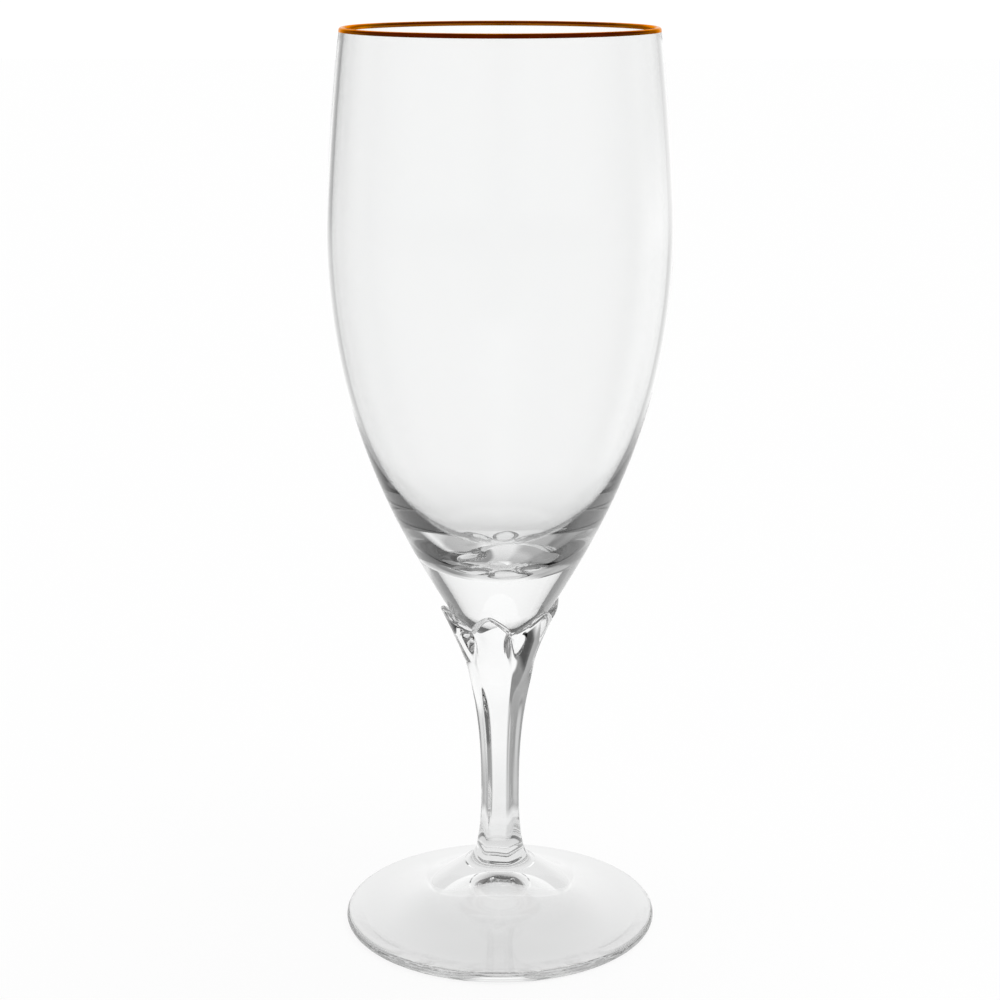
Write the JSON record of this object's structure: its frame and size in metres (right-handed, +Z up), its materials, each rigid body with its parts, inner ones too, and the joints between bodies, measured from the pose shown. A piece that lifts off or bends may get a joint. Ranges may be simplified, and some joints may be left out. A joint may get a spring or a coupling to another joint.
{
  "type": "iced tea glass",
  "caption": "Tall footed iced tea glass: tapered clear bowl with a gold-banded lip, six-sided stem whose panels rise into petals under the bowl, and a domed disc foot.",
  "frame": {"origin": "centre of the foot's rest plane", "axes": "+Z up along the axis of the glass, through foot, stem and bowl; -Y is the side that the picture shows"},
  "size_m": [0.0818, 0.0818, 0.2219],
  "materials": {
    "clear_glass": "clear colourless blown and pressed glass, fire polished",
    "fired_gold": "bright fired gold band, burnished, warm and slightly worn"
  },
  "bodies": {
    "root": {"bowl": "clear_glass", "stem": "clear_glass", "foot": "clear_glass", "rim_band": "fired_gold"}
  },
  "joints": []
}
